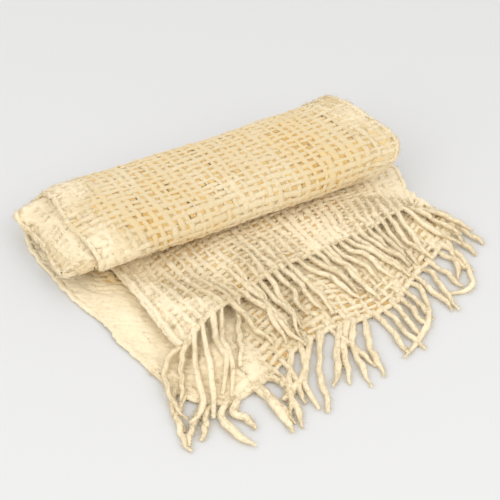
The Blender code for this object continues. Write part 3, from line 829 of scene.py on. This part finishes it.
# Fringe strands. Tables: share of the width, heading from straight ahead in degrees, length in metres.
# Laid strands: number of the end, thickness, then the points it passes on the floor plan.
fringe = {
    "sides": 8,
    "points": 44,
    "root": (0.0054, 0.0046),
    "tip": 0.50,
    "taperFrom": 0.70,
    "uneven": 0.14,
    "slubs": 0.05,
    "fluff": 0.05,
    "lowerTable": (
        (0.00, -20.0, 0.118), (0.10, -10.0, 0.108), (0.20, -2.0, 0.118), (0.40, 4.0, 0.130),
        (0.60, 8.0, 0.112), (0.75, 11.0, 0.110), (0.90, 12.0, 0.100), (1.00, 14.0, 0.080),
    ),
    "upperTable": (
        (0.00, -15.0, 0.146), (0.15, -7.0, 0.150), (0.35, 3.0, 0.156), (0.55, 9.0, 0.156),
        (0.75, 12.0, 0.148), (0.90, 12.0, 0.120), (1.00, 10.0, 0.095),
    ),
    "upperLaid": (
        (0, 0.95, ((-0.301, -0.122), (-0.325, -0.143), (-0.338, -0.177), (-0.344, -0.213), (-0.346, -0.249),
                   (-0.340, -0.271))),
        (1, 0.95, ((-0.292, -0.146), (-0.308, -0.182), (-0.319, -0.207), (-0.330, -0.226))),
        (2, 1.00, ((-0.274, -0.169), (-0.286, -0.203), (-0.291, -0.235), (-0.302, -0.259), (-0.324, -0.280),
                   (-0.341, -0.280))),
        (3, 1.00, ((-0.254, -0.186), (-0.270, -0.230), (-0.284, -0.261), (-0.300, -0.289))),
        (4, 1.05, ((-0.224, -0.162), (-0.222, -0.195), (-0.237, -0.218), (-0.262, -0.248))),
        (5, 1.10, ((-0.213, -0.154), (-0.218, -0.206), (-0.233, -0.234), (-0.249, -0.260))),
        (7, 1.10, ((-0.181, -0.161), (-0.191, -0.192), (-0.213, -0.221))),
        (31, 1.00, ((0.308, -0.022), (0.326, -0.058), (0.346, -0.090), (0.350, -0.112))),
        (32, 1.10, ((0.340, -0.008), (0.358, -0.050), (0.372, -0.086))),
        (33, 1.00, ((0.366, -0.006), (0.386, -0.048), (0.396, -0.088))),
    ),
    "lowerLaid": (
        (0, 0.90, ((-0.348, -0.222), (-0.353, -0.255), (-0.352, -0.286))),
        (3, 1.00, ((-0.300, -0.262), (-0.318, -0.295), (-0.336, -0.318))),
        (1, 0.90, ((-0.351, -0.246), (-0.359, -0.283), (-0.368, -0.315), (-0.363, -0.331))),
        (2, 0.90, ((-0.318, -0.265), (-0.349, -0.297), (-0.362, -0.318))),
        (4, 1.20, ((-0.287, -0.284), (-0.284, -0.318), (-0.273, -0.356), (-0.261, -0.372))),
        (5, 1.25, ((-0.267, -0.292), (-0.246, -0.311), (-0.245, -0.340))),
        (6, 1.38, ((-0.201, -0.251), (-0.191, -0.287), (-0.191, -0.320), (-0.189, -0.350), (-0.193, -0.376))),
        (8, 1.20, ((-0.155, -0.256), (-0.149, -0.290), (-0.170, -0.306))),
        (11, 1.10, ((-0.139, -0.268), (-0.153, -0.303), (-0.178, -0.341))),
        (12, 1.10, ((-0.093, -0.250), (-0.109, -0.273), (-0.142, -0.290), (-0.166, -0.316))),
        (13, 1.05, ((-0.124, -0.293), (-0.123, -0.319), (-0.126, -0.351))),
        (14, 1.15, ((-0.091, -0.293), (-0.097, -0.330), (-0.116, -0.366))),
        (16, 1.10, ((-0.037, -0.264), (-0.049, -0.294), (-0.078, -0.318))),
        (17, 1.10, ((-0.016, -0.252), (-0.030, -0.291), (-0.048, -0.326))),
        (18, 1.10, ((0.006, -0.245), (-0.005, -0.295), (-0.018, -0.351))),
        (19, 1.20, ((0.030, -0.272), (0.023, -0.314), (0.017, -0.339))),
        (25, 1.00, ((0.214, -0.167), (0.196, -0.214), (0.176, -0.257), (0.128, -0.291), (0.075, -0.319))),
        (27, 1.00, ((0.255, -0.145), (0.244, -0.197), (0.236, -0.263))),
        (30, 1.00, ((0.335, -0.128), (0.323, -0.182), (0.299, -0.227), (0.274, -0.227), (0.239, -0.212))),
        (31, 0.95, ((0.324, -0.122), (0.304, -0.171), (0.285, -0.190))),
    ),
    "headingSpread": 6.0,             # degrees, each strand on its own
    "clumping": 8.0,                  # degrees, neighbours together
    "clumpBlur": 1.3,
    "headingMost": 14.0,
    "lengthSpread": 0.16,
    "turnOver": 0.35,                 # share of the length over which the table's heading takes over
    "sway": (12.0, 1.6),              # degrees, waves to a strand
    "wiggle": (7.0, 4.0),
    "swing": (0.4, 1.6),              # least and greatest share of those that a strand has
    "laidBlur": 3.4,
    "laidWiggle": 0.0011,
    "spin": 5.0,
    "flatness": (0.5, 0.5),
    "floorGap": 0.0004,
    "clothGap": 0.0042,
    "hump": 0.0013,
    "humpCount": 2.3,
    "humpFrom": 4.0,
    "fall": 0.07,                     # metres over which a strand comes down from its hem
    "hidden": 0.9,                    # its thickness inside the hem
}


def fringeStrands(name, upper):
    # heading = the warp's own at the root, eased into the table's, plus two sine waves; path = its running sum
    count, length = weave["endCount"], fringe["points"]
    hemRow = -1 if upper else 0
    inner = -1 - steps if upper else steps
    root = swayed[hemRow, ::steps]
    behind = swayed[inner, ::steps]
    table = fringe["upperTable"] if upper else fringe["lowerTable"]
    shares = (np.arange(count) + 0.5) / count
    ahead = root - behind
    startHeading = np.arctan2(ahead[:, 0], -ahead[:, 1])
    spread = fringe["headingSpread"] * rng.normal(size=count)
    spread = spread + fringe["clumping"] * softNoise((count,), (fringe["clumpBlur"],))
    spread = np.clip(spread, -fringe["headingMost"], fringe["headingMost"])
    heading = np.radians(fromTable(table, shares, 1) + spread)
    total = fromTable(table, shares, 2) * (1.0 + fringe["lengthSpread"] * rng.uniform(-1, 1, count))
    t = np.linspace(0.0, 1.0, length)[None, :]
    turn = smoothStep(t / fringe["turnOver"])
    phases = rng.uniform(0, 2 * math.pi, (4, count, 1))
    swing = rng.uniform(*fringe["swing"], (2, count, 1))
    angle = startHeading[:, None] * (1 - turn) + heading[:, None] * turn
    for k, (degrees, waves) in enumerate((fringe["sway"], fringe["wiggle"])):
        angle = angle + np.radians(degrees) * turn * np.sin(2 * math.pi * waves * t + phases[k]) * swing[k]
    step = total[:, None] / (length - 1)
    x = root[:, :1] + np.cumsum(np.sin(angle) * step, axis=1)
    y = root[:, 1:2] - np.cumsum(np.cos(angle) * step, axis=1)
    bulk = np.ones((count, 1))
    for k, thickness, places in fringe["upperLaid"] if upper else fringe["lowerLaid"]:
        line = np.array([root[k, :2]] + list(places))
        distance = np.concatenate([[0.0], np.cumsum(np.linalg.norm(np.diff(line, axis=0), axis=1))])
        even = np.linspace(0.0, distance[-1], length)
        x[k], y[k] = (
            blurred(np.interp(even, distance, line[:, axis]), fringe["laidBlur"], 0) for axis in (0, 1)
        )
        total[k] = distance[-1]
        bulk[k] = thickness
        wave = 2 * math.pi * fringe["wiggle"][1] * t[0] + phases[1, k]
        x[k] += fringe["laidWiggle"] * np.sin(wave) * swing[1, k] * turn[0]
    thick = spun((count, length), fringe["spin"], fringe) * bulk
    taper = 1.0 - (1.0 - fringe["tip"]) * smoothStep((t - fringe["taperFrom"]) / (1.0 - fringe["taperFrom"]))
    wide = fringe["root"][0] * thick * taper
    stays, follows = fringe["flatness"]
    high = fringe["root"][1] * (stays + follows * thick) * taper
    bed = high + fringe["floorGap"]
    if upper:
        shift = form["shift"]
        bed = flapHeight(x - shift[0], y - shift[1], False) + fringe["clothGap"] + high
    hump = 1 + np.sin(2 * math.pi * fringe["humpCount"] * t + phases[2])
    rest = bed + fringe["hump"] * hump * smoothStep(t * fringe["humpFrom"])
    fall = 1.0 - smoothStep(t * total[:, None] / fringe["fall"])
    z = rest + (root[:, 2:] - rest[:, :1]) * fall
    paths = np.stack([x, y, z], axis=-1)
    paths = np.concatenate([behind[:, None] * 0.5 + root[:, None] * 0.5, root[:, None], paths[:, 1:]], axis=1)
    wide, high = (np.concatenate([size[:, :1] * fringe["hidden"], size], axis=1) for size in (wide, high))
    up = np.zeros_like(paths)
    up[..., 2] = 1.0
    return tubes(
        name, paths, up, wide, high, fringe["sides"], rng.uniform(0, 1, count), fluff=fringe["fluff"]
    )


lowerFringe = fringeStrands("lower_fringe_strands", False)
upperFringe = fringeStrands("upper_fringe_strands", True)
print("fringe", [len(made[0].data.polygons) * 2 for made in (lowerFringe, upperFringe)])

# Loose fibres standing off the wool.
fuzz = {
    "count": 32000,
    "length": (0.0040, 0.0120),
    "thick": 0.00042,
    "wildness": 0.9,
    "deepest": 0.05,                  # none grow where the painted shade lies deeper than this, inside the roll
    "undersides": -0.3,               # nor where the skin looks down more steeply
    "coverHeight": 0.020,             # lower than this and behind the upper hem, nothing shows
    "tipLowest": 0.0006,
    "rootLowest": 0.0002,
    "lower": ((lowerEnds, 0.38), (lowerPicks, 0.38), (lowerFringe, 0.24)),
    "upper": ((upperEnds, 0.36), (upperPicks, 0.36), (upperFringe, 0.28)),
}


def looseFibres(name, parts):
    # from a random seen point of a thread's skin, along its outward way plus a random way: a three-sided spike
    roots, ways = [], []
    for (_, skins, cores, depths), share in parts:
        away = skins - cores
        steep = fuzz["undersides"] * np.linalg.norm(away, axis=-1)
        seen = (depths < fuzz["deepest"])[..., None] & (away[..., 2] > steep)
        skin, way = skins[seen], away[seen]
        hemY = np.interp(skin[:, 0], upperHemLine[0], upperHemLine[1])
        bare = (skin[:, 2] > fuzz["coverHeight"]) | (skin[:, 1] < hemY)
        skin, way = skin[bare], way[bare]
        chosen = rng.integers(0, len(skin), int(share * fuzz["count"]))
        roots.append(skin[chosen])
        ways.append(way[chosen])
    root, way = np.concatenate(roots), np.concatenate(ways)
    count = len(root)
    way = unit(way)
    way = unit(way + fuzz["wildness"] * rng.normal(size=way.shape))
    tip = root + way * rng.uniform(*fuzz["length"], (count, 1))
    tip[:, 2] = np.maximum(tip[:, 2], fuzz["tipLowest"])
    aside = unit(np.cross(way, rng.normal(size=way.shape)))
    other = np.cross(way, aside)
    angle = np.arange(3) / 3 * 2 * math.pi
    ring = np.cos(angle)[:, None] * aside[:, None] + np.sin(angle)[:, None] * other[:, None]
    base = root[:, None] + fuzz["thick"] * ring
    base[..., 2] = np.maximum(base[..., 2], fuzz["rootLowest"])
    points = np.concatenate([base, tip[:, None]], axis=1)
    corners = np.array([(0, 1, 3), (1, 2, 3), (2, 0, 3), (2, 1, 0)])
    faces = (corners[None] + points.shape[1] * np.arange(count)[:, None, None]).reshape(-1, 3)
    return meshOf(name, points.reshape(-1, 3), faces)


upperHemLine = swayed[-1, :, 0], swayed[-1, :, 1]
fibres = []
if fuzz["count"]:
    fibres = [looseFibres(layer + "_layer_fibres", fuzz[layer]) for layer in ("lower", "upper")]
    print("fibres", [len(made.data.polygons) for made in fibres])


class Shade:
    # a socket in a node tree; + - * on two of them, or on one and a number, adds a Math node
    def __init__(self, tree, socket):
        self.tree, self.socket = tree, socket

    def node(self, kind, settings, values):
        made = self.tree.nodes.new(kind)
        for name, value in settings.items():
            if name == "stops":
                ramp = made.color_ramp.elements
                while len(ramp) < len(value):
                    ramp.new(0.5)
                for element, (place, colour) in zip(ramp, value):
                    element.position, element.color = place, colour
            else:
                setattr(made, name, value)
        for name, value in values.items():
            if isinstance(value, Shade):
                self.tree.links.new(value.socket, made.inputs[name])
            else:
                made.inputs[name].default_value = value
        return made

    def out(self, kind, settings, values, name):
        return Shade(self.tree, self.node(kind, settings, values).outputs[name])

    def maths(self, operation, a, b):
        return self.out("ShaderNodeMath", {"operation": operation}, {0: a, 1: b}, 0)

    def __add__(self, other):
        return self.maths("ADD", self, other)

    def __radd__(self, other):
        return self.maths("ADD", other, self)

    def __mul__(self, other):
        return self.maths("MULTIPLY", self, other)

    def __rmul__(self, other):
        return self.maths("MULTIPLY", other, self)

    def __sub__(self, other):
        return self.maths("SUBTRACT", self, other)

    def __rsub__(self, other):
        return self.maths("SUBTRACT", other, self)


# Wool colours are linear red, green, blue.
wool = {
    "ochre": (0.60, 0.36, 0.10, 1),
    "deep": (0.80, 0.59, 0.27, 1),
    "cream": (0.745, 0.61, 0.385, 1),
    "pale": (0.95, 0.825, 0.585, 1),
    # the ramp's low end, ochre and deep, takes the painted shade
    "stops": (("ochre", 0.0), ("deep", 0.35), ("cream", 0.62), ("pale", 0.95)),
    "fibreStops": (("cream", 0.3), ("pale", 0.7)),
    "level": -0.01,
    # how far the painted shade takes the colour down the ramp
    "recess": 0.42,
    "spinStretch": (0.22, 3.0, 3.0),  # along the thread, and round it
    # scale and detail of each noise, then its share of the colour and of the height
    "streaks": (260.0, 3.0, 0.35, 0.6),
    "lumps": (130.0, 2.0, 0.35, 0.5),
    "patches": (9.0, 2.0, 0.5, 0.0),
    "fine": (700.0, 2.0, 0.0, 0.35),
    "toneShare": 0.10,
    "rough": (0.80, 0.20),            # least, and how much the streaks add
    "bump": 0.50,
    "bumpDepth": 0.0017,
    "sheen": 0.35,
    "sheenRoughness": 0.45,
    "specular": 0.2,
    # painted light: the fringe's colour is lifted paler against the shade among its strands
    "fringePaintedLight": 0.28,
    "fibreScale": 30.0,
    "fibreRough": 0.8,
}


def stopsOf(name):
    # places and colours of a ramp
    return tuple((place, wool[colour]) for colour, place in wool[name])


def plainMaterial(name):
    material = bpy.data.materials.new(name)
    material.use_nodes = True
    return material, material.node_tree, material.node_tree.nodes["Principled BSDF"]


def woolMaterial(name, paintedLight):
    # colour = ramp of patches, lumps, streaks and each thread's own tone, plus painted light and less painted
    # shade; height = streaks, lumps, fine noise
    material, tree, shader = plainMaterial(name)
    start = Shade(tree, None)
    here = start.out("ShaderNodeTexCoord", {}, {}, "Object")
    spin = start.out("ShaderNodeAttribute", {"attribute_name": "spinPlace"}, {}, "Vector")
    tone = start.out("ShaderNodeAttribute", {"attribute_name": "tone"}, {}, "Fac")
    recess = start.out("ShaderNodeAttribute", {"attribute_name": "recess"}, {}, "Fac")
    stretched = start.out("ShaderNodeMapping", {}, {"Vector": spin, "Scale": wool["spinStretch"]}, "Vector")

    def noise(layer, vector):
        scale, detail = wool[layer][:2]
        return start.out("ShaderNodeTexNoise", {}, {"Vector": vector, "Scale": scale, "Detail": detail}, "Fac")

    streaks = noise("streaks", stretched)
    lumps, patches, fine = (noise(layer, here) for layer in ("lumps", "patches", "fine"))
    level = patches * wool["patches"][2] + lumps * wool["lumps"][2] + streaks * wool["streaks"][2]
    level = level + tone * wool["toneShare"] + wool["level"] + paintedLight - recess * wool["recess"]
    colour = start.out("ShaderNodeValToRGB", {"stops": stopsOf("stops")}, {"Fac": level}, "Color")
    tree.links.new(colour.socket, shader.inputs["Base Color"])
    least, more = wool["rough"]
    tree.links.new((least + streaks * more).socket, shader.inputs["Roughness"])
    height = streaks * wool["streaks"][3] + lumps * wool["lumps"][3] + fine * wool["fine"][3]
    relief = {"Strength": wool["bump"], "Distance": wool["bumpDepth"], "Height": height}
    bump = start.out("ShaderNodeBump", {}, relief, "Normal")
    tree.links.new(bump.socket, shader.inputs["Normal"])
    shader.inputs["Sheen Weight"].default_value = wool["sheen"]
    shader.inputs["Sheen Roughness"].default_value = wool["sheenRoughness"]
    shader.inputs["Specular IOR Level"].default_value = wool["specular"]
    return material


def fibreMaterial(name):
    # colour = ramp of one slow noise
    material, tree, shader = plainMaterial(name)
    start = Shade(tree, None)
    here = start.out("ShaderNodeTexCoord", {}, {}, "Object")
    noise = start.out("ShaderNodeTexNoise", {}, {"Vector": here, "Scale": wool["fibreScale"]}, "Fac")
    colour = start.out("ShaderNodeValToRGB", {"stops": stopsOf("fibreStops")}, {"Fac": noise}, "Color")
    tree.links.new(colour.socket, shader.inputs["Base Color"])
    shader.inputs["Roughness"].default_value = wool["fibreRough"]
    return material


# Pieces, their wool, the node that they stand for and its slot.
clothWool = woolMaterial("cream_wool", 0.0)
fringeWool = woolMaterial("cream_wool_fringe", wool["fringePaintedLight"])
clothPieces = [made[0] for made in (lowerEnds, upperEnds, lowerPicks, upperPicks)]
clothPieces += [lowerFelt, upperFelt, lowerSkin, upperSkin]
dressing = (
    (clothPieces, clothWool, "blanket_cloth", "wool_cloth"),
    ([lowerFringe[0]], fringeWool, "fringe_lower", "wool_fringe_lower"),
    ([upperFringe[0]], fringeWool, "fringe_upper", "wool_fringe_upper"),
    (fibres, fibreMaterial("loose_wool"), None, "wool_cloth"),
)
for pieces, material, node, slot in dressing:
    for piece in pieces:
        piece.data.materials.append(material)
        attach(piece, "root")
        if node:
            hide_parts(node)
print("dressed", sum(len(pieces) for pieces, *_ in dressing), "pieces")

studio = {
    "floorHalf": 12.0,
    "floorColour": (0.695, 0.70, 0.705, 1),
    "floorRough": 0.6,
    "world": (1.0, 0.992, 0.98, 1),
    "worldStrength": 0.95,
    "lights": (
        ("key", (-2.8, -0.9, 1.6), 2.4, 22.0, (1.0, 0.985, 0.965)),
        ("front", (1.0, -2.2, 2.2), 2.6, 27.0, (1.0, 0.98, 0.95)),
        ("back", (-1.5, 2.0, 2.6), 2.6, 9.0, (0.97, 0.98, 1.0)),
    ),
    "aim": (0.0, 0.0, 0.04),
}


def turnedTo(target, place):
    # the turn that points a lamp's or a camera's own -Z from its place to the target
    return (Vector(target) - Vector(place)).to_track_quat("-Z", "Y").to_euler()


def buildStudio():
    # a flat floor, an even sky and three square lamps turned to the aim
    half = studio["floorHalf"]
    mesh = bpy.data.meshes.new("floor")
    corners = [(-half, -half, 0), (half, -half, 0), (half, half, 0), (-half, half, 0)]
    mesh.from_pydata(corners, [], [(0, 1, 2, 3)])
    floor = bpy.data.objects.new("floor", mesh)
    bpy.context.scene.collection.objects.link(floor)
    material, _, shader = plainMaterial("pale_floor")
    shader.inputs["Base Color"].default_value = studio["floorColour"]
    shader.inputs["Roughness"].default_value = studio["floorRough"]
    mesh.materials.append(material)
    world = bpy.data.worlds.new("studio")
    bpy.context.scene.world = world
    world.use_nodes = True
    background = world.node_tree.nodes["Background"]
    background.inputs["Color"].default_value = studio["world"]
    background.inputs["Strength"].default_value = studio["worldStrength"]
    for name, place, size, power, colour in studio["lights"]:
        data = bpy.data.lights.new(name, "AREA")
        data.size, data.energy, data.color = size, power, colour
        lamp = bpy.data.objects.new(name, data)
        lamp.location = place
        lamp.rotation_euler = turnedTo(studio["aim"], place)
        bpy.context.scene.collection.objects.link(lamp)


view = {
    "eye": (-0.892, -1.510, 1.525),
    "target": (-0.051, 0.038, 0.0465),
    "fieldDeg": 24.0,
    "sensor": 36.0,
}


def buildCamera():
    # lens = half the sensor / tan(half the field)
    data = bpy.data.cameras.new("camera")
    data.sensor_width = view["sensor"]
    data.lens = view["sensor"] / 2 / math.tan(math.radians(view["fieldDeg"] / 2))
    camera = bpy.data.objects.new("camera", data)
    camera.location = view["eye"]
    camera.rotation_euler = turnedTo(view["target"], view["eye"])
    bpy.context.scene.collection.objects.link(camera)
    bpy.context.scene.camera = camera
    bpy.context.scene.view_settings.view_transform = "Standard"


buildStudio()
buildCamera()
print("studio done")

# Each layer is half of the one cloth, cut from fold to hem.
[lowerEnds[0], lowerFelt, lowerSkin, lowerFringe[0]] + fibres[:1]
[upperEnds[0], upperFelt, upperSkin, upperFringe[0]] + fibres[1:]

print("blanket done")
